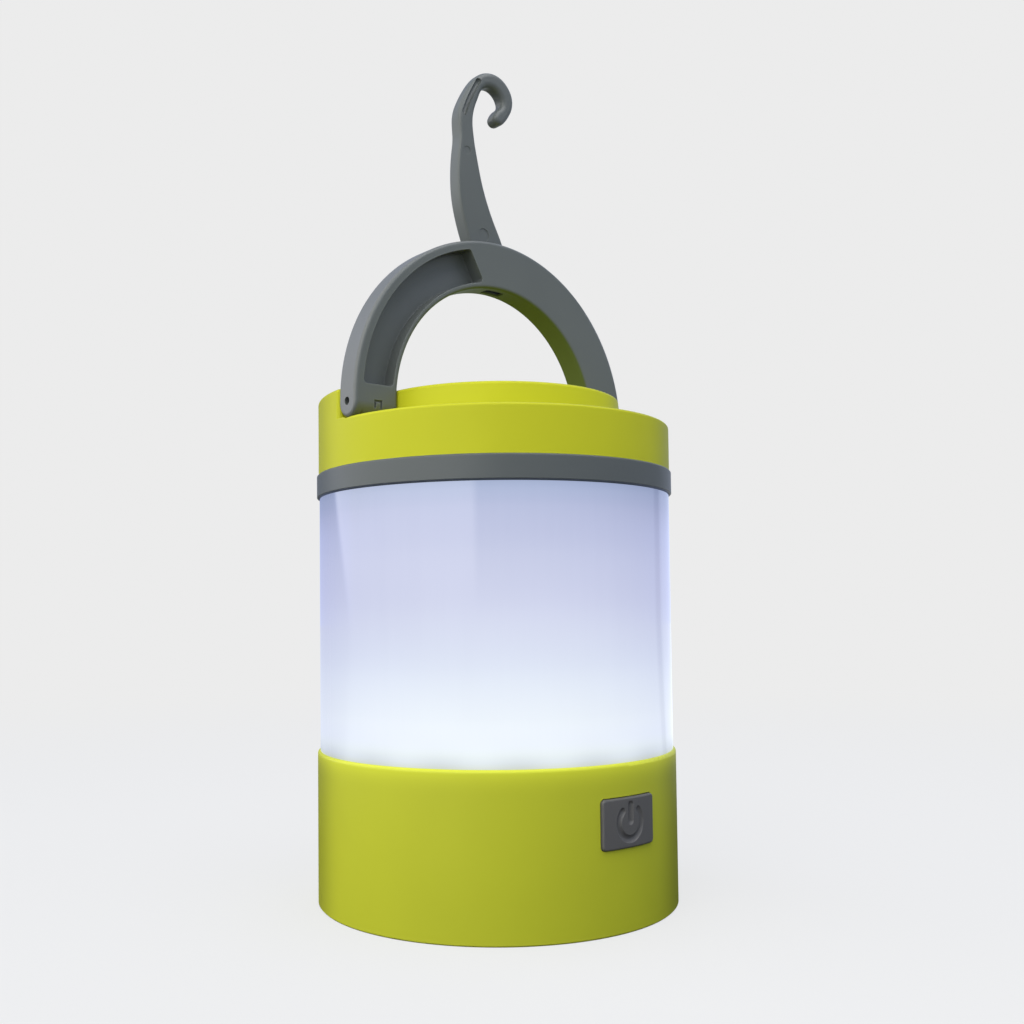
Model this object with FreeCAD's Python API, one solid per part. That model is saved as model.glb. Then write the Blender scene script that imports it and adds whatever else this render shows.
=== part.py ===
import FreeCAD, Part
import math
import os

# Camping lantern: round battery lantern with a folding half-ring handle and a
# swing-out hanging hook, handle up and hook hanging.  Millimetres.  The origin
# is the centre of the base underside, +Z is up, X runs along the handle's
# pivot axis, -Y is the front (power button, and the side the handle folds to).

V = FreeCAD.Vector
os.makedirs("parts", exist_ok=True)
SIDES = (-1, 1)            # left, right

# body stack
BASE_R = 45.0
BASE_TOP = 37.55
BASE_IN = BASE_R - 2.0     # inside of the base wall
FLOOR_TOP = 3.2            # top of the base floor and of the cover disc
DIFFUSER_R = 44.34
DIFFUSER_TOP = 100.2
COLLAR_R = 45.0
COLLAR_TOP = 106.1
WEB_BOTTOM, WEB_TOP = 101.6, 104.6   # disc across the collar
CAP_R = 44.56
CAP_IN = CAP_R - 2.16
CAP_TOP = 124.65
STEP_Z = 117.4             # floor of the handle's step in the cap
STEP_Y = 3.65              # the step covers everything in front of this plane
CAP_BOSS_R = 32.2          # raised centre of the cap, inside the folded handle

# handle
HANDLE_RO, HANDLE_RI = 44.45, 32.4
HANDLE_T = 7.0
ARC_Z = 121.85             # centre of the half ring
PIVOT_Z = 121.05
FEET_Z = 120.75            # centre of the rounded feet
SLOT_W = 4.3               # hook slot
SLOT_FLOOR_R = 33.0
HANDLE_PIN_R = 0.9
HANDLE_PIN_IN, HANDLE_PIN_OUT = 25.6, 42.2   # x of the pin's ends

# hook
HOOK_T = 4.0
HOOK_PIVOT = (0.0, 160.91)   # x, z
HOOK_PIN_R = 1.25
HOOK_PIN_FRONT = -2.85

# power button and switch
BUTTON_X0, BUTTON_X1 = -7.7, 8.6
BUTTON_Z0, BUTTON_Z1 = 18.85, 30.05
BUTTON_R = 45.7            # radius of the button's face
BUTTON_GAP = 0.15
SWITCH_Z = 24.0
BOARD_FRONT, BOARD_BACK = -35.3, -34.1   # y of the switch board's faces
BOARD_SCREW_X = 13.6
PLUNGER_FRONT = -40.1      # y where the plunger meets the button's stem

# battery cover
COVER_R = 36.0
COVER_BOTTOM = 0.4
COVER_GAP = 0.2
LUG_R = 38.6
LUG_TOP = 5.0
LUG_ANGLES = (90, 210, 330)
COVER_TWIST = 30           # degrees from locked to open

# cells (AA), tray and contacts
CELL_R = 7.1
CELL_END = 50.5 / 2
CELL_PITCH = 15.8
CELL_Z = 12.2
TRAY_X, TRAY_Y = 29.6, 25.0          # half sizes
TRAY_BOTTOM, TRAY_TOP = 5.4, 21.0
TRAY_END = 28.15           # end of the cell bays and back of the contact plates
PLATE_FACE = 27.75
TRAY_SCREW_X = 35.8
TRAY_POST_TOP = 19.0

# light engine
LED_COUNT = 16
LED_RING_R = 36.5
DECK_Z = 38.0
DECK_UNDER = DECK_Z - 1.8
LED_BOARD_TOP = DECK_Z + 1.0
POST_FOOT = 6.5
POST_RING_R = 36.3
POST_ANGLES = (56.25, 180 - 56.25, 180 + 56.25, 360 - 56.25)
CAP_POST_RING_R = 27.5
CAP_POST_ANGLES = (45, 135, 225, 315)
CAP_SCREW_SEAT = 103.2

RIB_HALF = 0.8
PILOT_R = 1.0              # screw hole in a post
CLEAR_R = 1.15             # screw hole in a screwed-down part
LEAD_R = 0.6


# --- helpers ------------------------------------------------------------------
def polar(radius, angle, z=0.0):
    angle = math.radians(angle)
    return V(radius * math.cos(angle), radius * math.sin(angle), z)


POSTS = [polar(POST_RING_R, angle) for angle in POST_ANGLES]
CAP_POSTS = [polar(CAP_POST_RING_R, angle) for angle in CAP_POST_ANGLES]


def cylinder(radius, z0, z1, x=0.0, y=0.0):
    """Vertical cylinder; z0 and z1 may come in either order."""
    z0, z1 = sorted((z0, z1))
    return Part.makeCylinder(radius, z1 - z0, V(x, y, z0))


def x_cylinder(radius, x0, x1, y, z):
    """Cylinder along X; x0 and x1 may come in either order."""
    x0, x1 = sorted((x0, x1))
    return Part.makeCylinder(radius, x1 - x0, V(x0, y, z), V(1, 0, 0))


def y_cylinder(radius, y0, y1, x, z):
    return Part.makeCylinder(radius, y1 - y0, V(x, y0, z), V(0, 1, 0))


def tube(outer, inner, z0, z1):
    return cylinder(outer, z0, z1).cut(cylinder(inner, z0 - 1, z1 + 1))


def box(x0, x1, y0, y1, z0, z1):
    """Box between two limits per axis, each pair in either order."""
    (x0, x1), (y0, y1), (z0, z1) = map(sorted, ((x0, x1), (y0, y1), (z0, z1)))
    return Part.makeBox(x1 - x0, y1 - y0, z1 - z0, V(x0, y0, z0))


def edges_along(shape, axis):
    return [e for e in shape.Edges
            if near(abs(getattr(e.tangentAt(e.FirstParameter), axis)), 1)]


def rounded_box(x0, x1, y0, y1, z0, z1, radius, axis="y"):
    """Box with its four edges along axis rounded."""
    block = box(x0, x1, y0, y1, z0, z1)
    return block.makeFillet(radius, edges_along(block, axis))


def sector(outer, inner, z0, z1, middle, half):
    """Annular sector centred on the angle middle, half degrees each way."""
    start, end = middle - half, middle + half
    face = Part.Face(Part.Wire([
        line(polar(inner, start, z0), polar(outer, start, z0)),
        Part.Arc(polar(outer, start, z0), polar(outer, middle, z0),
                 polar(outer, end, z0)).toShape(),
        line(polar(outer, end, z0), polar(inner, end, z0)),
        Part.Arc(polar(inner, end, z0), polar(inner, middle, z0),
                 polar(inner, start, z0)).toShape()]))
    return face.extrude(V(0, 0, z1 - z0))


def line(start, end):
    return Part.LineSegment(start, end).toShape()


def polygon(points):
    return Part.Face(Part.makePolygon(points + points[:1]))


def revolve(outline):
    """Solid of revolution about Z from (r, z) points."""
    return polygon([V(r, 0, z) for r, z in outline]).revolve(V(0, 0, 0), V(0, 0, 1), 360)


def prism(outline, y0, depth):
    """Polygon of (x, z) points, extruded towards +Y."""
    return polygon([V(x, y0, z) for x, z in outline]).extrude(V(0, depth, 0))


def circle_point(centre, radius, angle, y):
    """Point on a circle in an XZ plane; centre is (x, z)."""
    angle = math.radians(angle)
    return V(centre[0] + radius * math.cos(angle), y, centre[1] + radius * math.sin(angle))


def arc_xz(centre, radius, start, end, y):
    angles = (start, (start + end) / 2.0, end)
    return Part.Arc(*[circle_point(centre, radius, a, y) for a in angles]).toShape()


def spline(points, start, end):
    """Spline edge through the points with given end tangents."""
    curve = Part.BSplineCurve()
    curve.interpolate(Points=points, InitialTangent=start, FinalTangent=end)
    return curve.toShape()


def sweep_round(path, radius, start, direction):
    section = Part.Wire(Part.makeCircle(radius, start, direction))
    return Part.Wire([path]).makePipeShell([section], True, False)


def turned(shape, angle):
    """Turns the shape itself about Z."""
    shape.rotate(V(0, 0, 0), V(0, 0, 1), angle)
    return shape


def near(a, b, tolerance=1e-6):
    return abs(a - b) < tolerance


def axis_distance(p):
    return math.hypot(p.x, p.y)


def edges_at(shape, test):
    """Edges that pass the test near both ends and at the middle."""
    found = []
    for edge in shape.Edges:
        first, last = edge.FirstParameter, edge.LastParameter
        if all(test(edge.valueAt(first + (last - first) * t)) for t in (0.02, 0.5, 0.98)):
            found.append(edge)
    return found


def fillet_edges(shape, radius, edges):
    """Fillet that falls back to smaller radii, then to the plain shape."""
    for factor in (1.0, 0.75, 0.5, 0.3):
        # guards against the kernel failing at this radius
        try:
            result = shape.makeFillet(radius * factor, edges)
            if (result.isValid() and result.Volume > 0
                    and len(result.Solids) == len(shape.Solids)):
                return result
        except Exception:
            pass
    return shape


def fillet(shape, radius, test):
    return fillet_edges(shape, radius, edges_at(shape, test))


def save(name, shape):
    """Writes one part; a list of solids becomes a compound."""
    if isinstance(shape, list):
        shape = Part.makeCompound(shape)
    shape.exportStep("parts/%s.step" % name)


def screw(x, y, seat, length, up=1):
    """Vertical pan head screw; seat is the z its head sits on, up=1 puts the
    head above and up=-1 below."""
    head_r = 1.9
    end = seat + up * 1.4
    head = fillet(cylinder(head_r, seat, end, x, y), 0.5,
                  lambda p: near(p.z, end) and math.hypot(p.x - x, p.y - y) > head_r - 0.01)
    cross = [box(x - dx, x + dx, y - dy, y + dy, end - up * 0.7, end + up)
             for dx, dy in ((1.1, 0.25), (0.25, 1.1))]
    shank = cylinder(1.0, seat, seat - up * length, x, y)
    return head.fuse(shank).cut(cross[0].fuse(cross[1]))


# --- base and battery cover -----------------------------------------------------
def base_shell():
    shell = cylinder(BASE_R, 0, BASE_TOP)
    shell = fillet(shell, 0.8,
                   lambda p: near(p.z, BASE_TOP) and axis_distance(p) > BASE_R - 0.01)
    shell = shell.makeChamfer(0.3, edges_at(
        shell, lambda p: near(p.z, 0) and axis_distance(p) > BASE_R - 0.01))
    shell = shell.cut(cylinder(BASE_IN, FLOOR_TOP, BASE_TOP + 1))
    # cover opening, with entries for the lugs at the open position
    shell = shell.cut(cylinder(COVER_R + COVER_GAP, -1, 4))
    for angle in LUG_ANGLES:
        shell = shell.cut(sector(LUG_R + 0.3, COVER_R - 1, -1, 4, angle - COVER_TWIST, 13.5))
    # groove for the bead of the diffuser
    shell = shell.cut(tube(BASE_IN + 0.35, BASE_IN - 1, 34.4, 35.8))

    rib_end = BASE_IN + 0.5
    for angle, post in zip(POST_ANGLES, POSTS):
        rib = box(POST_RING_R, rib_end, -RIB_HALF, RIB_HALF, POST_FOOT, 30.2)
        shell = shell.fuse(cylinder(3.2, POST_FOOT, DECK_UNDER, post.x, post.y))
        shell = shell.fuse(turned(rib, angle))
    for side in SIDES:
        x = side * TRAY_SCREW_X
        rib = box(x, side * rib_end, -RIB_HALF, RIB_HALF, POST_FOOT, TRAY_POST_TOP)
        shell = shell.fuse(cylinder(3.0, POST_FOOT, TRAY_POST_TOP, x, 0)).fuse(rib)
        shell = shell.fuse(y_cylinder(2.4, -41.6, BOARD_FRONT, side * BOARD_SCREW_X, SWITCH_Z))
    for post in POSTS:
        shell = shell.cut(cylinder(PILOT_R, 24, 40, post.x, post.y))
    for side in SIDES:
        shell = shell.cut(cylinder(PILOT_R, 10, 20, side * TRAY_SCREW_X, 0))
        shell = shell.cut(y_cylinder(0.8, -40.5, -35, side * BOARD_SCREW_X, SWITCH_Z))
    window = rounded_box(BUTTON_X0 - BUTTON_GAP, BUTTON_X1 + BUTTON_GAP, -50, -38,
                         BUTTON_Z0 - BUTTON_GAP, BUTTON_Z1 + BUTTON_GAP, 1.1)
    return shell.cut(window).removeSplitter()


def battery_cover():
    """Twist-lock cover, shown locked."""
    dish_r, bar_half = 16.0, 3.2
    cover = cylinder(COVER_R, COVER_BOTTOM, FLOOR_TOP)
    cover = fillet(cover, 0.4, lambda p: near(p.z, COVER_BOTTOM))
    # seal groove, skirt and lugs
    cover = cover.cut(tube(COVER_R + 1, COVER_R - 1.25, 1.1, 2.5))
    cover = cover.fuse(tube(COVER_R - 0.4, COVER_R - 2.2, FLOOR_TOP, LUG_TOP))
    for angle in LUG_ANGLES:
        cover = cover.fuse(sector(LUG_R, COVER_R - 2.0, 3.4, LUG_TOP, angle, 12))
    # dished underside, leaving a grip bar across it
    bar = rounded_box(-17, 17, -bar_half, bar_half, -2, 3, 1.0, "x")
    cover = cover.cut(cylinder(dish_r, -1, 2.0).cut(bar))
    cover = fillet(cover, 0.7, lambda p: near(p.z, COVER_BOTTOM)
                   and near(abs(p.y), bar_half, 1e-3) and abs(p.x) < dish_r - 0.1)
    for k in range(7):   # notches across the bar
        x = -9.2 + 3 * k
        cover = cover.cut(box(x, x + 0.6, -2.2, 2.2, -1, 0.8))
    return cover


def cover_seal():
    return Part.makeTorus(COVER_R - 0.6, 0.64, V(0, 0, 1.8), V(0, 0, 1))


# --- battery tray, cells and contacts ---------------------------------------------
def battery_tray():
    bay_r = CELL_R + 0.3
    below = TRAY_BOTTOM - 1
    tray = rounded_box(-TRAY_X, TRAY_X, -TRAY_Y, TRAY_Y, TRAY_BOTTOM, TRAY_TOP, 2.0, "z")
    for k in (-1, 0, 1):
        y = k * CELL_PITCH
        tray = tray.cut(x_cylinder(bay_r, -TRAY_END, TRAY_END, y, CELL_Z))
        tray = tray.cut(box(-TRAY_END, TRAY_END, y - bay_r, y + bay_r, below, CELL_Z))
    for side in SIDES:   # screw ears
        tray = tray.fuse(box(side * 28.6, side * 39.2, -3.4, 3.4, TRAY_POST_TOP, TRAY_TOP))
        tray = tray.cut(cylinder(CLEAR_R, 18, 22, side * TRAY_SCREW_X, 0))
    for side in SIDES:   # slots for the contact tabs
        y = side * CELL_PITCH
        tray = tray.cut(box(side * 27.7, side * 28.2, y - 2.1, y + 2.1, 15, 25))
    for side in SIDES:   # flat seats for the contact plates
        tray = tray.cut(box(side * 27.0, side * TRAY_END, -22.6, 22.6, below, 18.6))
    return tray.removeSplitter()


def tray_screws():
    return [screw(side * TRAY_SCREW_X, 0, TRAY_TOP, 7.0) for side in SIDES]


def battery(y, side):
    """AA cell along X, positive end towards side."""
    shoulder = CELL_END - 1.3
    cell = x_cylinder(CELL_R, -CELL_END, shoulder, y, CELL_Z)
    cell = fillet(cell, 0.5, lambda p: (near(p.x, -CELL_END) or near(p.x, shoulder))
                  and math.hypot(p.y - y, p.z - CELL_Z) > CELL_R - 0.01)
    nub = x_cylinder(2.7, CELL_END - 1.4, CELL_END, y, CELL_Z)
    groove = x_cylinder(4.6, CELL_END - 1.6, shoulder, y, CELL_Z)
    groove = groove.cut(x_cylinder(3.4, CELL_END - 2, CELL_END, y, CELL_Z))
    cell = cell.cut(groove).fuse(nub)
    if side < 0:
        cell.rotate(V(0, y, CELL_Z), V(0, 0, 1), 180)
    return cell


def contact_spring(y, side):
    """Conical spring between a plate and a cell's negative end."""
    turns, per_turn, wire_r = 2.5, 12, 0.28
    x0 = PLATE_FACE - wire_r - 0.02
    x1 = CELL_END + wire_r + 0.02
    steps = int(turns * per_turn)
    points = []
    for i in range(steps + 1):
        t = i / steps
        angle = 2 * math.pi * turns * t
        coil_r = 3.9 - 1.4 * t
        points.append(V(side * (x0 + (x1 - x0) * t), y + coil_r * math.cos(angle),
                        CELL_Z + coil_r * math.sin(angle)))
    curve = Part.BSplineCurve()
    curve.interpolate(Points=points)
    path = curve.toShape()
    return sweep_round(path, wire_r, points[0], path.tangentAt(path.FirstParameter))


def contact_springs():
    return [contact_spring(-CELL_PITCH, -1), contact_spring(CELL_PITCH, -1),
            contact_spring(0, 1)]


def contact_plate(side, first, last, bump=None, tab=None):
    """Plate over the cells from y first to last, with an optional contact bump
    and solder tab at the given y."""
    face, back = side * PLATE_FACE, side * TRAY_END
    plate = rounded_box(face, back, first - 6, last + 6, 7.0, 18.0, 1.0, "x")
    if bump is not None:
        button = x_cylinder(2.6, side * CELL_END, side * 27.8, bump, CELL_Z)
        plate = plate.fuse(fillet(button, 0.5, lambda p: near(abs(p.x), CELL_END)))
    if tab is not None:
        plate = plate.fuse(box(face, back, tab - 1.8, tab + 1.8, 17, 23.0))
    return plate


def contact_plates():
    return [contact_plate(1, -CELL_PITCH, 0, bump=-CELL_PITCH),
            contact_plate(1, CELL_PITCH, CELL_PITCH, bump=CELL_PITCH, tab=CELL_PITCH),
            contact_plate(-1, -CELL_PITCH, -CELL_PITCH, tab=-CELL_PITCH),
            contact_plate(-1, 0, CELL_PITCH, bump=0)]


# --- power button and switch --------------------------------------------------------
def power_button():
    blank = rounded_box(BUTTON_X0, BUTTON_X1, -50, -40, BUTTON_Z0, BUTTON_Z1, 1.0)
    button = cylinder(BUTTON_R, 10, 40).common(blank)
    button = fillet(button, 0.45, lambda p: near(axis_distance(p), BUTTON_R, 0.02))
    flange = tube(BASE_IN - 0.25, BASE_IN - 1.65, BUTTON_Z0 - 1.2, BUTTON_Z1 + 0.4)
    flange = flange.common(box(BUTTON_X0 - 1.4, BUTTON_X1 + 1.4, -50, -30, 0, 60))
    button = button.cut(cylinder(BASE_IN - 1.0, 10, 40)).fuse(flange)
    button = button.fuse(y_cylinder(1.8, -42.0, PLUNGER_FRONT, 0, SWITCH_Z))

    # debossed power sign: open ring and bar, round-bottomed and round-ended
    x, z, ring_r = 0.35, 24.45, 3.65
    groove_r, groove_depth = 0.97, 0.55
    gap_half = 44                        # degrees each side of the top
    bar_low, bar_length = 0.35, 3.6
    y = -(BUTTON_R - groove_depth + groove_r)
    ring = Part.makeTorus(ring_r, groove_r, V(x, y, z), V(0, 1, 0))
    spread = 9 * math.tan(math.radians(gap_half))
    gap = prism([(x, z), (x - spread, z + 9), (x + spread, z + 9)], -50, 10)
    button = button.cut(ring.cut(gap))
    for angle in (90 - gap_half, 90 + gap_half):
        end = circle_point((x, z), ring_r, angle, y)
        button = button.cut(Part.makeSphere(groove_r, end))
    button = button.cut(Part.makeCylinder(groove_r, bar_length, V(x, y, z + bar_low)))
    for dz in (bar_low, bar_low + bar_length):
        button = button.cut(Part.makeSphere(groove_r, V(x, y, z + dz)))
    return button


def switch_board():
    board = rounded_box(-16.5, 16.5, BOARD_FRONT, BOARD_BACK, SWITCH_Z - 6.5, SWITCH_Z + 6.4, 1.0)
    for side in SIDES:
        board = board.cut(y_cylinder(1.0, -36, -33, side * BOARD_SCREW_X, SWITCH_Z))
    return board


def switch_body():
    body = rounded_box(-3.1, 3.1, -38.8, BOARD_FRONT, SWITCH_Z - 3.1, SWITCH_Z + 3.1, 0.4)
    return body.cut(y_cylinder(1.8, -39, -37.2, 0, SWITCH_Z))


def switch_plunger():
    return y_cylinder(1.74, PLUNGER_FRONT, -37.8, 0, SWITCH_Z)


def switch_board_screw(x):
    head_back = -32.9
    body = y_cylinder(1.7, BOARD_BACK, head_back, x, SWITCH_Z)
    body = fillet(body, 0.4, lambda p: near(p.y, head_back)
                  and math.hypot(p.x - x, p.z - SWITCH_Z) > 1.6)
    body = body.fuse(y_cylinder(0.8, -39.5, BOARD_BACK, x, SWITCH_Z))
    for dx, dz in ((1, 0.2), (0.2, 1)):   # cross recess
        body = body.cut(box(x - dx, x + dx, -33.4, -32, SWITCH_Z - dz, SWITCH_Z + dz))
    return body


def switch_board_screws():
    return [switch_board_screw(side * BOARD_SCREW_X) for side in SIDES]


def driver_chip():
    chip = box(-6.5, -2.6, BOARD_BACK, -32.6, SWITCH_Z - 2.5, SWITCH_Z + 2.5)
    for x in (-7.4, -2.6):
        for k in range(4):
            z = SWITCH_Z - 2.1 + 1.3 * k
            chip = chip.fuse(box(x, x + 0.9, BOARD_BACK, -33.6, z, z + 0.4))
    return chip


def resistors():
    return [box(2.0 + 3.0 * k, 3.6 + 3.0 * k, BOARD_BACK, -33.5, SWITCH_Z - 5.6, SWITCH_Z - 2.4)
            for k in range(3)]


# --- light engine ---------------------------------------------------------------------
def led_deck():
    deck = revolve([(0, DECK_UNDER), (38.8, DECK_UNDER), (38.8, 30.6), (42.7, 30.6),
                    (42.7, 32.2), (40.6, 32.2), (40.6, DECK_Z), (0, DECK_Z)])
    for post in POSTS:
        deck = deck.cut(cylinder(CLEAR_R, 30, 40, post.x, post.y))
        deck = deck.cut(cylinder(3.4, 30, DECK_UNDER, post.x, post.y))
    # hole for the LED leads
    return deck.cut(cylinder(2.2, 30, 40, 0, -27.0)).removeSplitter()


def led_board():
    board = tube(39.6, 31.0, DECK_Z, LED_BOARD_TOP)
    for post in POSTS:
        board = board.cut(cylinder(CLEAR_R, 30, 41, post.x, post.y))
    return board


def led(angle):
    x, half = LED_RING_R, 1.75
    top = DECK_Z + 2.1
    body = rounded_box(x - half, x + half, -half, half, LED_BOARD_TOP, top, 0.3, "z")
    dome = Part.makeSphere(1.9, V(x, 0, DECK_Z + 0.9))
    dome = dome.common(box(x - 3, x + 3, -3, 3, top, DECK_Z + 5))
    dome = dome.common(cylinder(1.4, DECK_Z, DECK_Z + 6, x, 0))
    return turned(body.fuse(dome), angle)


def leds():
    return [led(360.0 / LED_COUNT * k) for k in range(LED_COUNT)]


def led_board_screws():
    return [screw(post.x, post.y, LED_BOARD_TOP, 10.0) for post in POSTS]


# --- diffuser and collar ----------------------------------------------------------------
def diffuser():
    wall, groove = DIFFUSER_R - 2.0, DIFFUSER_R - 1.75
    return revolve([
        (DIFFUSER_R, BASE_TOP), (DIFFUSER_R, DIFFUSER_TOP), (wall, DIFFUSER_TOP),
        (wall, 99.0), (groove, 98.7), (groove, 98.1), (wall, 97.8), (wall, 39.5),
        (41.0, 38.2), (41.0, 33.0), (42.85, 33.0), (42.85, 34.6), (43.2, 34.9),
        (43.2, 35.3), (42.85, 35.6), (42.85, BASE_TOP)])


def diffuser_gasket():
    return tube(42.7, 41.0, 32.2, 33.0)


def collar_ring():
    under = DIFFUSER_TOP + 0.3
    collar = revolve([
        (COLLAR_R - 0.15, under), (COLLAR_R, DIFFUSER_TOP + 0.45),
        (COLLAR_R, COLLAR_TOP - 0.3), (COLLAR_R - 0.3, COLLAR_TOP), (42.3, COLLAR_TOP),
        (42.3, 109.6), (40.4, 109.6), (40.4, WEB_TOP), (0, WEB_TOP), (0, WEB_BOTTOM),
        (40.4, WEB_BOTTOM), (40.4, 95.6), (42.2, 95.6), (42.2, 97.9), (42.45, 98.2),
        (42.45, 98.6), (42.2, 98.9), (42.2, DIFFUSER_TOP), (43.6, DIFFUSER_TOP), (43.6, under)])
    for post in CAP_POSTS:
        collar = collar.cut(cylinder(CLEAR_R, 100, 106, post.x, post.y))
        collar = collar.cut(cylinder(2.3, 100, CAP_SCREW_SEAT, post.x, post.y))
    return collar


def ceiling_reflector():
    return revolve([(0, 96.6), (3.0, 96.6), (24.0, 100.4), (40.0, 100.4),
                    (40.0, WEB_BOTTOM), (22.0, WEB_BOTTOM), (1.0, 97.8), (0, 97.8)])


def cap_screws():
    return [screw(post.x, post.y, CAP_SCREW_SEAT, 9.0, up=-1) for post in CAP_POSTS]


# --- top cap ------------------------------------------------------------------------------
def cap_outside():
    cap = cylinder(CAP_R, COLLAR_TOP, CAP_TOP)
    # step for the folded handle, round a slightly tapered boss
    boss = Part.makeCone(CAP_BOSS_R + 0.12, CAP_BOSS_R - 0.02, CAP_TOP + 2 - (STEP_Z - 1),
                         V(0, 0, STEP_Z - 1))
    step = cylinder(CAP_R + 2, STEP_Z, CAP_TOP + 2).cut(boss)
    cap = cap.cut(step.common(box(-60, 60, -60, STEP_Y, 0, 200)))
    cap = fillet(cap, 1.2, lambda p: near(p.y, STEP_Y, 1e-2)
                 and near(axis_distance(p), CAP_R, 1e-2)
                 and STEP_Z + 0.05 < p.z < CAP_TOP - 0.05)
    cap = fillet(cap, 0.8, lambda p: near(p.z, CAP_TOP, 1e-4))
    # rounded rim of the step's floor
    rim_r = 0.7
    rim = tube(CAP_R + 1, CAP_R - rim_r, STEP_Z - rim_r, STEP_Z + 1)
    rim = rim.cut(Part.makeTorus(CAP_R - rim_r, rim_r, V(0, 0, STEP_Z - rim_r)))
    return cap.cut(rim.common(box(-60, 60, -60, 0.5, 0, 200)))


def cap_hollow():
    roof = CAP_TOP - 2.2
    hollow = cylinder(CAP_IN, COLLAR_TOP - 1, STEP_Z - 2.0)
    hollow = hollow.fuse(cylinder(CAP_BOSS_R - 2.1, STEP_Z - 3, roof))
    behind = box(-60, 60, STEP_Y + 2.0, 60, 0, 200)
    return hollow.fuse(cylinder(CAP_IN, STEP_Z - 3, roof).common(behind))


def top_cap():
    cap = cap_outside().cut(cap_hollow())
    # cradles for the rounded feet of the handle, swept about the pivot
    for side in SIDES:
        cap = cap.cut(x_cylinder(3.95, side * 32.3, side * 50, 0, PIVOT_Z))
    for angle, post in zip(CAP_POST_ANGLES, CAP_POSTS):
        cap = cap.fuse(cylinder(3.0, WEB_TOP, CAP_TOP - 1.5, post.x, post.y))
        rib = box(CAP_POST_RING_R, CAP_R - 1.5, -RIB_HALF, RIB_HALF, WEB_TOP + 5.6, STEP_Z - 1.0)
        cap = cap.fuse(turned(rib, angle))
    for side in SIDES:   # blocks round the handle pins
        cap = cap.fuse(box(side * 24.5, side * 31.6, -3.4, 3.4, 117.4, CAP_TOP - 1.5))
    for post in CAP_POSTS:
        cap = cap.cut(cylinder(PILOT_R, WEB_TOP - 1, 113.0, post.x, post.y))
    for side in SIDES:
        cap = cap.cut(x_cylinder(HANDLE_PIN_R, side * HANDLE_PIN_IN, side * 40, 0, PIVOT_Z))
    return cap.removeSplitter()


# --- handle ---------------------------------------------------------------------------------
ARC_CENTRE = (0.0, ARC_Z)


def on_handle_rim(p):
    """True on the inner and outer edges of the handle's two faces and feet."""
    half = HANDLE_T / 2
    on_face = near(abs(p.y), half, 1e-4) and p.z > FEET_Z - 1e-4
    on_foot = near(math.hypot(p.y, p.z - FEET_Z), half, 1e-4) and p.z <= FEET_Z + 1e-4
    r = math.hypot(p.x, p.z - ARC_Z) if p.z > ARC_Z else abs(p.x)
    return (on_face or on_foot) and (near(r, HANDLE_RO, 1e-3) or near(r, HANDLE_RI, 1e-3))


def handle_blank():
    """Half ring on straight legs with rounded feet."""
    half = HANDLE_T / 2
    y, bottom = -half, FEET_Z - half
    face = Part.Face(Part.Wire([
        line(V(HANDLE_RO, y, bottom), V(HANDLE_RO, y, ARC_Z)),
        arc_xz(ARC_CENTRE, HANDLE_RO, 0, 180, y),
        line(V(-HANDLE_RO, y, ARC_Z), V(-HANDLE_RO, y, bottom)),
        line(V(-HANDLE_RO, y, bottom), V(-HANDLE_RI, y, bottom)),
        line(V(-HANDLE_RI, y, bottom), V(-HANDLE_RI, y, ARC_Z)),
        arc_xz(ARC_CENTRE, HANDLE_RI, 180, 0, y),
        line(V(HANDLE_RI, y, ARC_Z), V(HANDLE_RI, y, bottom)),
        line(V(HANDLE_RI, y, bottom), V(HANDLE_RO, y, bottom))]))
    side_view = x_cylinder(half, -60, 60, 0, FEET_Z)
    side_view = side_view.fuse(box(-60, 60, -half, half, FEET_Z, 200)).removeSplitter()
    blank = face.extrude(V(0, HANDLE_T, 0)).common(side_view)
    return fillet(blank, 0.9, on_handle_rim)


def handle_recess():
    """Cored recess in the front of the left half."""
    outer, inner = 42.2, 33.75
    low_z = 125.1
    y = -HANDLE_T / 2 - 1

    def at_x(radius, x):
        return V(x, y, ARC_Z + math.sqrt(radius ** 2 - x * x))

    def at_low(radius):
        return V(-math.sqrt(radius ** 2 - (low_z - ARC_Z) ** 2), y, low_z)

    def angle_of(p):
        return math.degrees(math.atan2(p.z - ARC_Z, p.x))

    outer_low, outer_high = at_low(outer), at_x(outer, -9.5)
    inner_low, inner_high = at_low(inner), at_x(inner, -5.2)
    recess = Part.Face(Part.Wire([
        arc_xz(ARC_CENTRE, outer, angle_of(outer_low), angle_of(outer_high), y),
        line(outer_high, inner_high),
        arc_xz(ARC_CENTRE, inner, angle_of(inner_high), angle_of(inner_low), y),
        line(inner_low, outer_low)])).extrude(V(0, 1 + 4.1, 0))
    return fillet_edges(recess, 1.0, edges_along(recess, "y"))


def hook_slot():
    """Slot for the stowed hook, open on the rim of the right half; its left end
    is a slanted stop wall beside the hanging hook."""
    slope = math.tan(math.radians(10.3))
    outline = [(-10.3, 170.5), (60, 175), (60, ARC_Z + 60 * slope), (20, ARC_Z + 20 * slope),
               (-2.6, 152.5), (-3.5, 157.0), (-5.45, 160.4), (-7.6, 163.4), (-9.15, 166.8)]
    slot = prism(outline, -SLOT_W / 2, SLOT_W)
    return slot.cut(y_cylinder(SLOT_FLOOR_R, -10, 10, *ARC_CENTRE))


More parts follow.
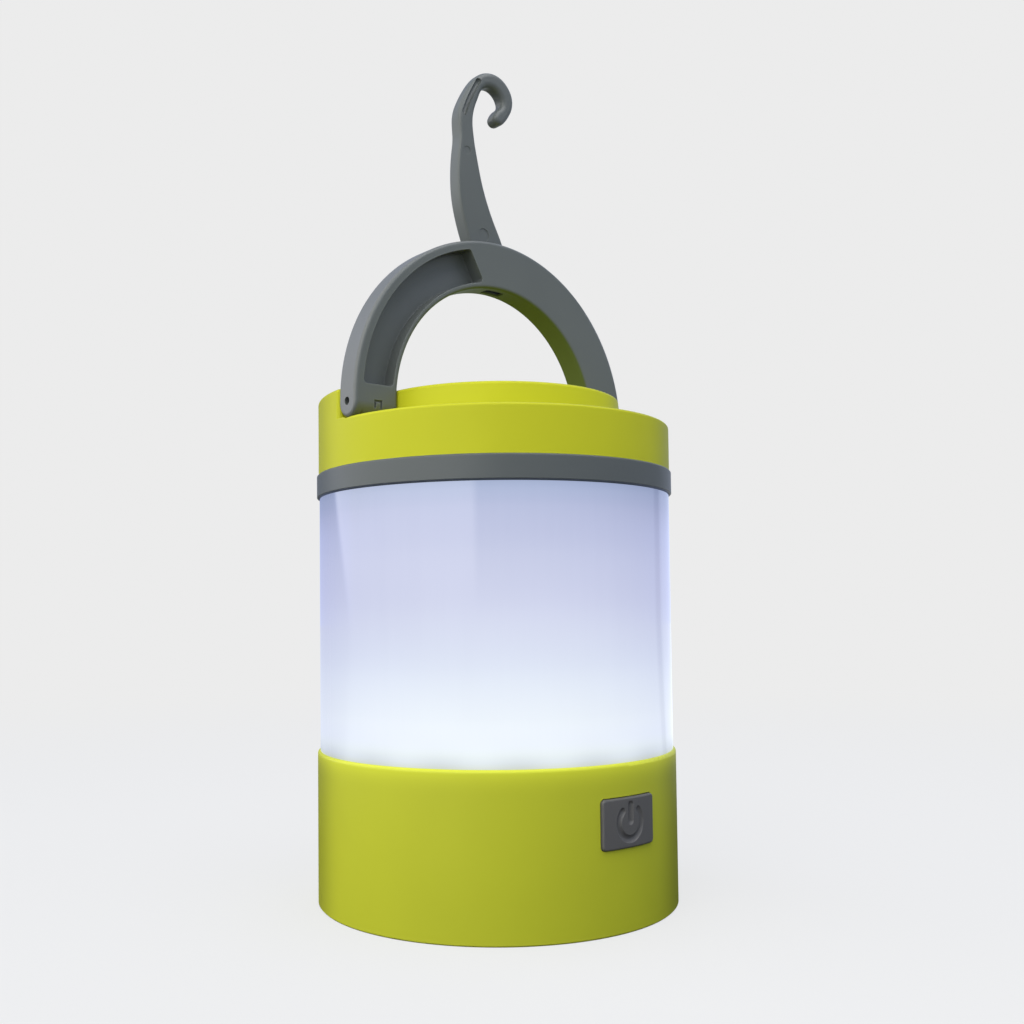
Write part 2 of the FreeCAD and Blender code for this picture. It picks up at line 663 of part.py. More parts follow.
def handle():
    ring = handle_blank().cut(handle_recess()).cut(hook_slot())
    # push-out window under the crown
    ring = ring.cut(rounded_box(-2.75, 3.25, -1.4, 1.4, 150, 158, 0.6, "z"))
    # hook pin hole: blind at the front, through at the back
    ring = ring.cut(y_cylinder(HOOK_PIN_R, HOOK_PIN_FRONT, 5, *HOOK_PIVOT))
    for side in SIDES:
        ring = ring.cut(x_cylinder(HANDLE_PIN_R + 0.05, side * 30, side * 50, 0, PIVOT_Z))
    # detent mark on the left foot
    mark = box(-39.1, -36.8, -5, -HANDLE_T / 2 + 0.5, 119.5, 121.4)
    return ring.cut(mark.cut(box(-38.55, -37.4, -5, 0, 119.4, 120.85)))


def handle_pin(side):
    pin = x_cylinder(HANDLE_PIN_R, side * HANDLE_PIN_IN, side * HANDLE_PIN_OUT, 0, PIVOT_Z)
    return fillet(pin, 0.2, lambda p: near(abs(p.x), HANDLE_PIN_OUT))


# --- hook -----------------------------------------------------------------------------------
# (x, z) points: outer edge up the stem and round the curl, the tip's edge back
# towards the seat, and the inner edge from the seat down the stem
HOOK_OUTER = [
    (-7.2, 163.2), (-8.6, 166.7), (-9.9, 170.7), (-11.0, 174.9), (-11.55, 179.0),
    (-11.65, 182.5), (-11.5, 186.0), (-11.1, 189.5), (-10.75, 192.6), (-10.95, 195.0),
    (-11.15, 197.0), (-10.85, 199.6), (-9.8, 202.3), (-8.3, 205.0), (-6.55, 207.6),
    (-4.45, 209.85), (-2.05, 211.2), (0.5, 211.65), (3.0, 211.15), (5.1, 209.7),
    (6.5, 207.65), (6.85, 205.4), (6.25, 203.2), (5.1, 201.4), (4.1, 200.15),
    (3.25, 199.35), (2.05, 198.87), (0.85, 199.3), (0.35, 200.3)]
HOOK_TIP = [(0.35, 200.3), (0.75, 201.5), (1.75, 202.75)]
HOOK_INNER = [
    (-5.5, 202.5), (-6.5, 200.1), (-6.9, 197.5), (-6.75, 194.0), (-6.2, 190.5),
    (-5.35, 186.6), (-4.3, 182.1), (-2.85, 177.7), (-0.7, 172.7), (2.2, 167.2)]
SEAT_CENTRE, SEAT_R = (-0.45, 204.05), 3.85
SEAT_START, SEAT_END = 14.0, 158.0       # degrees
HEEL_R = 4.7                             # round the pivot
HEEL_LEFT, HEEL_RIGHT = 208.0, 388.0     # degrees


def hook():
    y = -HOOK_T / 2

    def at_y(points):
        return [V(x, y, z) for x, z in points]

    def tangent(angle, sign):
        angle = math.radians(angle)
        return V(-math.sin(angle) * sign, 0, math.cos(angle) * sign)

    heel_left = circle_point(HOOK_PIVOT, HEEL_R, HEEL_LEFT, y)
    heel_right = circle_point(HOOK_PIVOT, HEEL_R, HEEL_RIGHT, y)
    seat_start = circle_point(SEAT_CENTRE, SEAT_R, SEAT_START, y)
    seat_end = circle_point(SEAT_CENTRE, SEAT_R, SEAT_END, y)
    tip_tangent = V(0.15, 0, 1.0)
    # the tip and inner edges meet the seat's arc with no kink
    outline = Part.Wire([
        spline([heel_left] + at_y(HOOK_OUTER), V(-0.5, 0, 0.86), tip_tangent),
        spline(at_y(HOOK_TIP) + [seat_start], tip_tangent, tangent(SEAT_START, 1.0)),
        arc_xz(SEAT_CENTRE, SEAT_R, SEAT_START, SEAT_END, y),
        spline([seat_end] + at_y(HOOK_INNER) + [heel_right],
               tangent(SEAT_END, 1.0), tangent(HEEL_RIGHT, -1.0)),
        arc_xz(HOOK_PIVOT, HEEL_R, HEEL_RIGHT, HEEL_LEFT, y)])
    body = Part.Face(outline).extrude(V(0, HOOK_T, 0))
    body = fillet(body, 1.0, lambda p: near(abs(p.y), HOOK_T / 2, 1e-4))
    return body.cut(y_cylinder(HOOK_PIN_R + 0.05, -5, 5, *HOOK_PIVOT))


def hook_pin():
    back = HANDLE_T / 2 - 0.2
    pin = y_cylinder(HOOK_PIN_R, HOOK_PIN_FRONT, back, *HOOK_PIVOT)
    return fillet(pin, 0.25, lambda p: near(p.y, back))


# --- leads ----------------------------------------------------------------------------------
LEAD_END_Y = BOARD_BACK + 0.02   # just clear of the switch board


def lead(points, start, end):
    """Insulated round lead through (x, y, z) points, with end directions."""
    points = [V(*p) for p in points]
    return sweep_round(spline(points, V(*start), V(*end)), LEAD_R, points[0], V(*start))


def battery_lead_red():
    return lead([(27.95, 15.8, 23.02), (25.0, 11.0, 25.2), (20.0, -2.0, 25.0),
                 (14.0, -18.0, 25.8), (10.0, -29.0, 27.8), (9.0, LEAD_END_Y, 28.2)],
                (0, 0, 1), (0, -1, 0))


def battery_lead_black():
    return lead([(-27.95, -15.8, 23.02), (-25.6, -18.0, 25.2), (-19.0, -23.0, 26.2),
                 (-12.5, -29.5, 27.8), (-10.5, LEAD_END_Y, 28.2)],
                (0, 0, 1), (0, -1, 0))


def led_leads():
    path = [(1.6, LEAD_END_Y, 28.4), (1.3, -30.2, 29.6), (0.95, -27.2, 33.0),
            (0.9, -27.0, 37.4), (0.9, -28.6, 40.6), (0.9, -31.2, 41.4), (0.9, -32.8, 39.02)]
    return [lead([(side * x, y, z) for x, y, z in path], (0, 1, 0), (0, 0, -1))
            for side in SIDES]


# each of these is saved under its function's name
for build in (base_shell, battery_cover, cover_seal, battery_tray, tray_screws,
              contact_springs, contact_plates, power_button, switch_board, switch_body,
              switch_plunger, switch_board_screws, driver_chip, resistors, led_deck,
              led_board, leds, led_board_screws, diffuser, diffuser_gasket, collar_ring,
              ceiling_reflector, cap_screws, top_cap, handle, hook, hook_pin,
              battery_lead_red, battery_lead_black, led_leads):
    save(build.__name__, build())
save("battery_1", battery(-CELL_PITCH, 1))
save("battery_2", battery(0, -1))
save("battery_3", battery(CELL_PITCH, 1))
save("handle_pin_left", handle_pin(-1))
save("handle_pin_right", handle_pin(1))
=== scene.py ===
# A battery lantern standing on the floor, upright on the Z axis, with its front towards -Y.
# From the floor up: lime base, glowing frosted tube, lime cap, grey arched handle and hook.
# The handle's arch and the hook lie in the XZ plane. The hook is remodelled with a rounded
# section; the other pieces keep their CAD meshes and only get materials.
from collections import Counter
from functools import cached_property
import math

import bmesh
import bpy
import numpy as np
from mathutils import Matrix, Vector
from mathutils.geometry import delaunay_2d_cdt


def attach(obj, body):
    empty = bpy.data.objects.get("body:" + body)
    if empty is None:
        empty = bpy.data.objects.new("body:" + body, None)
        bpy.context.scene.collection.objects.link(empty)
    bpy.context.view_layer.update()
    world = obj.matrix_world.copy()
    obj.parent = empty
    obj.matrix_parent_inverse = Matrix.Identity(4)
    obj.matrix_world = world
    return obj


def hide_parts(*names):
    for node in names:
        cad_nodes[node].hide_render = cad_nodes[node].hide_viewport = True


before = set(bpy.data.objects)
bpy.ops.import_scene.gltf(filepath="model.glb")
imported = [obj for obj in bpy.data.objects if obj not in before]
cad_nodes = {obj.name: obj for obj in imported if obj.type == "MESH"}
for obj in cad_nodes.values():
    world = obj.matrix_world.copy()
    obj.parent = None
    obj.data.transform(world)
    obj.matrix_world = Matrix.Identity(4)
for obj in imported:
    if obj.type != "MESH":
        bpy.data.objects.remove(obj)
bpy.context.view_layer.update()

scene = bpy.context.scene

MM = 0.001
DEGREE = math.pi / 180

# The camera stands this far to the left (-X) of the front.
CAMERA_ANGLE = math.radians(40.3)
TOWARDS_CAMERA = (-math.sin(CAMERA_ANGLE), -math.cos(CAMERA_ANGLE), 0.0)
CAMERA_RIGHT = (math.cos(CAMERA_ANGLE), -math.sin(CAMERA_ANGLE), 0.0)
BACKDROP = (0.838, 0.838, 0.838)    # linear


# ----------------------------------------------------------------------------
# shader graphs
# ----------------------------------------------------------------------------
class Graph:
    """Node tree of a material or world; its methods add a node and return an output socket."""

    def __init__(self, owner, output_kind):
        owner.use_nodes = True
        self.tree = owner.node_tree
        self.tree.nodes.clear()
        self.output = self.tree.nodes.new(output_kind)

    def fill(self, node, inputs):
        """Link sockets, or store plain values, on the inputs of a node."""
        for key, value in inputs.items():
            socket = node.inputs[key]
            if isinstance(value, bpy.types.NodeSocket):
                self.tree.links.new(value, socket)
            elif socket.type == "RGBA":
                socket.default_value = (*value, 1.0)
            else:
                socket.default_value = value

    def node(self, kind, inputs=None, output=0, **settings):
        node = self.tree.nodes.new("ShaderNode" + kind)
        for name, value in settings.items():
            setattr(node, name, value)
        self.fill(node, inputs or {})
        return node.outputs[output]

    def show(self, shader):
        self.fill(self.output, {0: shader})

    @cached_property
    def position(self):
        return self.node("TexCoord", output="Object")

    @cached_property
    def axes(self):
        return self.node("SeparateXYZ", {0: self.position}).node.outputs

    def math(self, operation, a, b=0.0, c=0.0, clamp=False):
        return self.node("Math", {0: a, 1: b, 2: c}, operation=operation, use_clamp=clamp)

    def times(self, a, b, clamp=False):
        return self.math("MULTIPLY", a, b, clamp=clamp)

    def plus(self, a, b):
        return self.math("ADD", a, b)

    def minus(self, a, b):
        return self.math("SUBTRACT", a, b)

    def remap(self, value, span, to=(0.0, 1.0), smooth=False):
        """Map the span onto the 'to' range, clamped at both ends."""
        inputs = {0: value, 1: span[0], 2: span[1], 3: to[0], 4: to[1]}
        interpolation = "SMOOTHSTEP" if smooth else "LINEAR"
        return self.node("MapRange", inputs, interpolation_type=interpolation)

    def noise(self, scale, detail=3.0, roughness=0.55, stretch=None, distortion=0.0):
        vector = self.position
        if stretch is not None:
            vector = self.node("Mapping", {0: vector, "Scale": stretch})
        return self.node("TexNoise", {
            "Vector": vector, "Scale": scale, "Detail": detail,
            "Roughness": roughness, "Distortion": distortion})

    def ramp(self, factor, stops, interpolation="LINEAR"):
        """Colour ramp; each stop is (position, grey level or RGB)."""
        colour = self.node("ValToRGB", {0: factor})
        band = colour.node.color_ramp
        band.interpolation = interpolation
        while len(band.elements) < len(stops):
            band.elements.new(0.5)
        for element, (position, level) in zip(band.elements, stops):
            element.position = position
            rgb = level if isinstance(level, tuple) else (level,) * 3
            element.color = (*rgb, 1.0)
        return colour

    def mix(self, factor, a, b, blend="MIX"):
        inputs = {0: factor, 6: a, 7: b}
        return self.node("Mix", inputs, output=2, data_type="RGBA", blend_type=blend)

    def bump(self, height, strength, distance, normal=None):
        inputs = {"Strength": strength, "Distance": distance, "Height": height}
        if normal is not None:
            inputs["Normal"] = normal
        return self.node("Bump", inputs)

    def bevel(self, radius):
        return self.node("Bevel", {"Radius": radius}, samples=4)

    def facing(self):
        return self.node("LayerWeight", {0: 0.5}, output="Facing")

    def emission(self, colour, strength):
        return self.node("Emission", {0: colour, 1: strength})

    def mix_shader(self, factor, a, b):
        return self.node("MixShader", {0: factor, 1: a, 2: b})

    def degrees(self, y, x):
        return self.math("DIVIDE", self.math("ARCTAN2", y, x), DEGREE)


class Material(Graph):
    def __init__(self, name):
        self.material = bpy.data.materials.new(name)
        super().__init__(self.material, "ShaderNodeOutputMaterial")

    @cached_property
    def principled(self):
        shader = self.node("BsdfPrincipled")
        self.show(shader)
        return shader.node

    def surface(self, inputs):
        self.fill(self.principled, inputs)


def tint(colour, gain, lift=0.0):
    return tuple(min(1.0, c * gain + lift) for c in colour)


# ----------------------------------------------------------------------------
# plastics and metals
# ----------------------------------------------------------------------------
FINE_TEXTURE_SCALE = 2600.0
PIT_SCALE = FINE_TEXTURE_SCALE * 0.36
ROUGHNESS_SPREAD = 0.08


def plastic(name, base, roughness=0.42, texture=0.10, edge_highlight_and_wear=0.10, variation=0.05,
            bevel=0.00025, specular=0.5):
    """Moulded plastic: fine texture, faint flow shading, edges paler from rubbing wear and a
    painted highlight, and light scuffs.
    """
    m = Material(name)
    flow = m.noise(38.0, detail=2.0, roughness=0.5, distortion=0.4)
    cloud = m.noise(240.0, detail=4.0, roughness=0.6)
    fine = m.noise(FINE_TEXTURE_SCALE, detail=2.0, roughness=0.6)
    pits = m.noise(PIT_SCALE, detail=3.0, roughness=0.7)
    streaks = m.noise(900.0, detail=3.0, roughness=0.6, stretch=(1.0, 1.0, 0.06))

    dark = tint(base, gain=1.0 - variation)
    light = tint(base, gain=1.0 + variation * 0.8)
    # paler tint for scuffs and rubbed edges, also used for the painted edge highlight
    wear_and_highlight_tint = tint(base, gain=1.12, lift=0.03)
    colour = m.mix(m.remap(flow, span=(0.3, 0.7)), dark, light)
    colour = m.mix(m.remap(cloud, span=(0.62, 0.80), to=(0.0, 0.25)), colour, light)

    # edges are paler where the bevelled normal leaves the real one: partly rubbing wear, partly a
    # painted highlight
    normals = {0: m.bevel(bevel * 3.0), 1: m.node("NewGeometry", output="Normal")}
    agreement = m.node("VectorMath", normals, output="Value", operation="DOT_PRODUCT")
    edge_highlight_and_rub = m.remap(agreement, span=(0.995, 0.90))
    edge_highlight_and_rub = m.times(edge_highlight_and_rub, m.remap(cloud, span=(0.35, 0.6), to=(0.35, 1.0)))
    colour = m.mix(m.times(edge_highlight_and_rub, edge_highlight_and_wear * 4.0, clamp=True), colour, wear_and_highlight_tint)

    # scuffs show in the roughness and a trace in the colour
    scuff = m.remap(streaks, span=(0.66, 0.78))
    m.colour = m.mix(m.times(scuff, 0.05), colour, wear_and_highlight_tint)
    rough = m.plus(roughness - ROUGHNESS_SPREAD / 2, m.times(cloud, ROUGHNESS_SPREAD))
    rough = m.plus(rough, m.times(scuff, 0.07))
    rough = m.minus(rough, m.times(edge_highlight_and_rub, 0.06))

    grain = m.plus(m.times(fine, 0.6), m.times(pits, 0.4))
    normal = m.bump(grain, strength=texture, distance=0.00004, normal=m.bevel(bevel))
    normal = m.bump(flow, strength=0.05, distance=0.0005, normal=normal)
    m.surface({"Base Color": m.colour, "Roughness": rough,
               "Specular IOR Level": specular, "Normal": normal})
    return m


def metal(name, base, roughness, stretch=(1.0, 1.0, 1.0)):
    m = Material(name)
    brushing = m.noise(1800.0, detail=4.0, roughness=0.65, stretch=stretch)
    cloud = m.noise(300.0, detail=3.0, roughness=0.6)
    m.surface({
        "Metallic": 1.0,
        "Base Color": m.mix(m.remap(cloud, span=(0.3, 0.7)), tint(base, gain=0.82), base),
        "Roughness": m.remap(brushing, span=(0.2, 0.8), to=(roughness - 0.08, roughness + 0.10)),
        "Normal": m.bump(brushing, strength=0.12, distance=0.00003, normal=m.bevel(0.00012))})
    return m


LIME = (0.600, 0.628, 0.032)
# colour of the painted shade on lime surfaces turned from the viewer
LIME_PAINTED_EDGE_SHADE = (0.20, 0.215, 0.012)
GREY = (0.112, 0.123, 0.117)


def paint_shade_on_turned_edges(m, amount):
    """Painted shade: the base colour darkens where the surface turns from the viewer."""
    painted_edge_shade = m.remap(m.facing(), span=(0.52, 0.85), to=(0.0, amount), smooth=True)
    m.surface({"Base Color": m.mix(painted_edge_shade, m.colour, LIME_PAINTED_EDGE_SHADE)})


def lime_base_material():
    m = plastic("lime_base", LIME, roughness=0.42, texture=0.10, edge_highlight_and_wear=0.12,
                variation=0.025, specular=0.30)
    # painted glow: emission on the thin rim under the diffuser stands in for light from inside
    # bleeding through it
    glow = m.math("POWER", m.remap(m.axes[2], span=(0.0310, 0.0376)), 2.6)
    m.surface({"Emission Color": (0.66, 0.70, 0.045), "Emission Strength": m.times(glow, 0.30)})
    # painted shade on edges turned from the viewer
    paint_shade_on_turned_edges(m, amount=0.42)
    return m


def lime_cap_material():
    m = plastic("lime_cap", (0.600, 0.604, 0.022), roughness=0.46, texture=0.10,
                edge_highlight_and_wear=0.12, variation=0.025, specular=0.14)
    # painted shade on edges turned from the viewer
    paint_shade_on_turned_edges(m, amount=0.28)
    return m


def handle_material():
    """Grey plastic with painted bounce light, highlight and shade, placed by distance from the
    arch's centre line.
    """
    arch_centre_z = 0.12185
    # colours of the painted rim highlight, recess shade and lime bounce light
    outer_rim_highlight_colour = (0.158, 0.164, 0.157)
    recess_shade_colour = (0.020, 0.022, 0.022)
    lime_bounce_colour = (0.096, 0.122, 0.036)
    m = plastic("grey_handle", GREY, roughness=0.41, texture=0.14, edge_highlight_and_wear=0.26,
                variation=0.05, specular=0.62)
    x, y, z = m.axes
    rise = m.math("MAXIMUM", m.minus(z, arch_centre_z), 0.0)
    radius = m.math("SQRT", m.plus(m.times(x, x), m.times(rise, rise)))

    # painted bounce light: the inner face of the arch is tinted with the lime light it gets from
    # the cap
    lime_bounce = m.times(m.remap(radius, span=(0.0325, 0.0331), to=(1.0, 0.0), smooth=True),
                    m.remap(z, span=(0.1235, 0.1275), smooth=True))
    # painted highlight: the outer rim is paler
    rim_highlight = m.remap(radius, span=(0.0440, 0.0444), smooth=True)
    # painted shade on the wall of the recess under the rim
    recess_shade = m.times(m.remap(radius, span=(0.0415, 0.0421), smooth=True),
                   m.remap(radius, span=(0.04225, 0.0424), to=(1.0, 0.0)))
    recess_shade = m.times(recess_shade, m.remap(y, span=(-0.0033, -0.0024), smooth=True))

    colour = m.mix(rim_highlight, m.colour, outer_rim_highlight_colour)
    colour = m.mix(m.times(recess_shade, 0.65), colour, recess_shade_colour)
    m.surface({"Base Color": m.mix(lime_bounce, colour, lime_bounce_colour),
               "Specular IOR Level": m.remap(lime_bounce, span=(0.0, 1.0), to=(0.62, 0.04))})
    return m


# ----------------------------------------------------------------------------
# battery cells, LEDs and diffuser
# ----------------------------------------------------------------------------
def cell_material():
    """Blue wrapped can with bare metal ends; the cells lie along X."""
    m = Material("cell_wrap")
    end = m.remap(m.math("ABSOLUTE", m.axes[0]), span=(0.0236, 0.0239))
    cloud = m.noise(260.0)
    wrap = m.mix(m.remap(cloud, span=(0.3, 0.7)), (0.030, 0.050, 0.085), (0.040, 0.064, 0.105))
    m.surface({
        "Base Color": m.mix(end, wrap, (0.62, 0.60, 0.56)),
        "Metallic": end,
        "Roughness": m.remap(cloud, span=(0.2, 0.8), to=(0.22, 0.34)),
        "Normal": m.bump(m.noise(900.0), strength=0.08, distance=0.00003,
                         normal=m.bevel(0.0002))})
    return m


def led_material():
    """White package below, glowing yellow dome above."""
    m = Material("led_lens")
    speckle = m.noise(1500.0)
    dome = m.remap(m.axes[2], span=(0.0400, 0.0402))
    m.surface({
        "Base Color": m.mix(dome, (0.80, 0.80, 0.78), (0.86, 0.74, 0.30)),
        "Roughness": m.remap(speckle, span=(0.3, 0.7), to=(0.10, 0.22)),
        "Emission Color": (0.85, 0.93, 1.0),
        "Emission Strength": m.times(dome, 6.0),
        "Normal": m.bump(speckle, strength=0.05, distance=0.00003)})
    return m


DIFFUSER_BOTTOM, DIFFUSER_TOP = 0.03755, 0.1002
LIGHT_FANS = 16.0    # soft fans of light round the foot of the tube

# fraction of the diffuser's height, linear RGB of its glow
DIFFUSER_GLOW = [
    (0.000, (0.600, 0.660, 0.590)), (0.0055, (0.640, 0.695, 0.650)),
    (0.0193, (0.683, 0.745, 0.768)), (0.047, (0.761, 0.826, 0.851)),
    (0.085, (0.793, 0.851, 0.921)), (0.171, (0.777, 0.835, 0.903)),
    (0.3435, (0.668, 0.721, 0.843)), (0.5505, (0.565, 0.597, 0.762)),
    (0.757, (0.482, 0.514, 0.698)), (0.9127, (0.410, 0.450, 0.645)),
    (0.975, (0.352, 0.410, 0.600)), (1.000, (0.320, 0.380, 0.560)),
]


def diffuser_material():
    """Frosted tube lit from its foot; the glow fades upwards from white to a cool blue."""
    m = Material("frosted_diffuser")
    x, y, z = m.axes
    height = m.remap(z, span=(DIFFUSER_BOTTOM, DIFFUSER_TOP))
    glow = m.ramp(height, DIFFUSER_GLOW, "CARDINAL")

    # fans: brighter in line with each one, darker between them, only near the foot
    wave = m.math("COSINE", m.times(m.math("ARCTAN2", y, x), LIGHT_FANS))
    fan = m.math("MULTIPLY_ADD", wave, 0.5, 0.5)
    wobble = m.remap(m.noise(45.0, detail=2.0), span=(0.3, 0.7), to=(0.6, 1.3))
    fan_span = (DIFFUSER_BOTTOM + 0.0005, DIFFUSER_BOTTOM + 0.0085)
    gap_span = (DIFFUSER_BOTTOM, DIFFUSER_BOTTOM + 0.0042)
    bright = m.times(fan, m.remap(z, span=fan_span, to=(1.0, 0.0), smooth=True))
    bright = m.times(bright, wobble)
    gap_fade = m.remap(z, span=gap_span, to=(1.0, 0.0), smooth=True)
    gap = m.times(m.minus(1.0, fan), gap_fade)
    gain = m.plus(1.0, m.minus(m.times(bright, 0.035), m.times(gap, 0.075)))

    # dimmer and bluer towards the silhouette, with a faint haze
    away = m.math("POWER", m.facing(), 1.3)
    side_loss = m.remap(z, span=(0.088, 0.0995), to=(-0.30, -0.52), smooth=True)
    gain = m.times(gain, m.math("MULTIPLY_ADD", away, side_loss, 1.0))
    haze = m.noise(26.0, detail=2.0, roughness=0.5)
    gain = m.times(gain, m.remap(haze, span=(0.3, 0.7), to=(0.985, 1.015)))
    bluer = m.mix(1.0, glow, (1.0, 1.01, 1.16), blend="MULTIPLY")

    streak = m.noise(220.0, detail=3.0, roughness=0.6, stretch=(1.0, 1.0, 0.05))
    frost = m.noise(1800.0, detail=3.0, roughness=0.7)
    streak_normal = m.bump(streak, strength=0.03, distance=0.0001)
    m.surface({
        "Emission Color": m.mix(away, glow, bluer),
        "Emission Strength": gain,
        "Base Color": m.mix(m.remap(streak, span=(0.3, 0.7)),
                            (0.080, 0.080, 0.082), (0.092, 0.092, 0.092)),
        "Roughness": m.remap(streak, span=(0.25, 0.75), to=(0.06, 0.10)),
        "Specular IOR Level": 0.55,
        "Normal": m.bump(frost, strength=0.02, distance=0.00003, normal=streak_normal)})
    return m


# ----------------------------------------------------------------------------
# material of each CAD piece
# ----------------------------------------------------------------------------
lime_base = lime_base_material()
lime_cap = lime_cap_material()
grey_handle = handle_material()
grey_ring = plastic("grey_ring", (0.108, 0.120, 0.118), roughness=0.40, edge_highlight_and_wear=0.14,
                    variation=0.04, specular=0.40)
grey_button = plastic("grey_button", (0.128, 0.123, 0.118), roughness=0.50, texture=0.16,
                      edge_highlight_and_wear=0.18, bevel=0.0002)
grey_hook = plastic("grey_hook", tint(GREY, gain=0.95), texture=0.14, bevel=0.0001,
                    specular=0.55)
black_plastic = plastic("black_plastic", (0.020, 0.020, 0.022), roughness=0.5, texture=0.2)
white_plastic = plastic("white_plastic", (0.78, 0.78, 0.76), roughness=0.55, texture=0.12)
lime_cover = plastic("lime_cover", tint(LIME, gain=0.97), roughness=0.45, texture=0.18,
                     edge_highlight_and_wear=0.16, variation=0.03)
rubber = plastic("seal_rubber", (0.016, 0.016, 0.016), roughness=0.72, texture=0.25,
                 specular=0.3)
screw_steel = metal("screw_steel", (0.56, 0.55, 0.52), roughness=0.32)
pin_steel = metal("pin_steel", (0.50, 0.50, 0.50), roughness=0.28, stretch=(0.1, 1.0, 1.0))
nickel = metal("contact_nickel", (0.66, 0.63, 0.55), roughness=0.22)
board_white = plastic("board_white", (0.76, 0.77, 0.76), roughness=0.35, texture=0.06)
board_green = plastic("board_green", (0.012, 0.085, 0.035), roughness=0.33, texture=0.08)
wire_red = plastic("wire_red", (0.42, 0.014, 0.012), texture=0.05)
wire_black = plastic("wire_black", (0.012, 0.012, 0.013), texture=0.05)

PIECES_BY_MATERIAL = [
    (lime_base, ["base_shell"]),
    (lime_cap, ["top_cap"]),
    (lime_cover, ["battery_cover"]),
    (rubber, ["cover_seal", "diffuser_gasket"]),
    (black_plastic, ["battery_tray", "switch_body", "driver_chip", "resistors"]),
    (white_plastic, ["switch_plunger", "led_deck", "ceiling_reflector"]),
    (screw_steel, ["tray_screws", "switch_board_screws", "led_board_screws", "cap_screws"]),
    (pin_steel, ["handle_pin_left", "handle_pin_right", "hook_pin"]),
    (nickel, ["contact_springs", "contact_plates"]),
    (cell_material(), ["battery_1", "battery_2", "battery_3"]),
    (grey_button, ["power_button"]),
    (board_green, ["switch_board"]),
    (board_white, ["led_board"]),
    (led_material(), ["leds"]),
    (diffuser_material(), ["diffuser"]),
    (grey_ring, ["collar_ring"]),
    (grey_handle, ["handle"]),
    (grey_hook, ["hook"]),
    (wire_red, ["battery_lead_red", "led_leads"]),
    (wire_black, ["battery_lead_black"]),
]
for look, piece_names in PIECES_BY_MATERIAL:
    for piece_name in piece_names:
        piece = cad_nodes[piece_name]
        if not piece.material_slots:
            piece.data.materials.append(look.material)
        for slot in piece.material_slots:
            slot.material = look.material


# ----------------------------------------------------------------------------
# mesh helpers
# ----------------------------------------------------------------------------
def mesh_object(name, bm, material=None):
    mesh = bpy.data.meshes.new(name)
    bm.normal_update()
    bm.to_mesh(mesh)
    bm.free()
    obj = bpy.data.objects.new(name, mesh)
    scene.collection.objects.link(obj)
    if material:
        mesh.materials.append(material)
    return obj


def bridge(bm, loops):
    """Join each closed vertex loop to the next with quads."""
    for low, high in zip(loops, loops[1:]):
        for i in range(len(low)):
            j = (i + 1) % len(low)
            bm.faces.new((low[i], low[j], high[j], high[i]))


def cut(obj, tool):
    """Subtract the tool from the object, apply the result and delete the tool."""
    modifier = obj.modifiers.new("b", "BOOLEAN")
    modifier.operation = "DIFFERENCE"
    modifier.solver = "EXACT"
    modifier.object = tool
    bpy.context.view_layer.update()
    depsgraph = bpy.context.evaluated_depsgraph_get()
    result = bpy.data.meshes.new_from_object(obj.evaluated_get(depsgraph))
    old = obj.data
    obj.modifiers.clear()
    obj.data = result
    bpy.data.meshes.remove(old)
    bpy.data.objects.remove(tool)


def tube_tool(path, radius, segments):
    """Closed round tube with domed ends along a path of points in mm."""
    points = [Vector(p) for p in path]
    last = len(points) - 1
    tangents = [(points[min(i + 1, last)] - points[max(i - 1, 0)]).normalized()
                for i in range(len(points))]
    dome_steps = 6
    dome_angles = [math.pi / 2 * k / dome_steps for k in range(1, dome_steps)]
    # (centre, tangent, radius) of every ring
    stations = [(points[0] - tangents[0] * radius * math.sin(a), tangents[0],
                 radius * math.cos(a)) for a in reversed(dome_angles)]
    stations += [(point, tangent, radius) for point, tangent in zip(points, tangents)]
    stations += [(points[-1] + tangents[-1] * radius * math.sin(a), tangents[-1],
                  radius * math.cos(a)) for a in dome_angles]

    bm = bmesh.new()
    turns = [2 * math.pi * k / segments for k in range(segments)]
    rings = []
    for centre, tangent, ring_radius in stations:
        across = tangent.cross(Vector((0, 1, 0))).normalized()
        other = tangent.cross(across).normalized()
        rings.append([
            bm.verts.new((centre + (across * math.cos(a) + other * math.sin(a)) * ring_radius) * MM)
            for a in turns])
    bridge(bm, rings)
    bm.faces.new(rings[0])
    bm.faces.new(list(reversed(rings[-1])))
    bmesh.ops.recalc_face_normals(bm, faces=bm.faces)
    return mesh_object("tool", bm)


def disc_tool(x, z, radius, y_start, y_end, taper):
    """Disc along Y, in mm, narrower by the taper at its y_end."""
    bm = bmesh.new()
    bmesh.ops.create_cone(bm, cap_ends=True, segments=64, radius1=radius * MM,
                          radius2=(radius - taper) * MM, depth=(y_end - y_start) * MM)
    bmesh.ops.rotate(bm, verts=bm.verts, matrix=Matrix.Rotation(-math.pi / 2, 3, "X"))
    bmesh.ops.translate(bm, verts=bm.verts,
                        vec=(x * MM, (y_start + y_end) / 2 * MM, z * MM))
    return mesh_object("tool", bm)


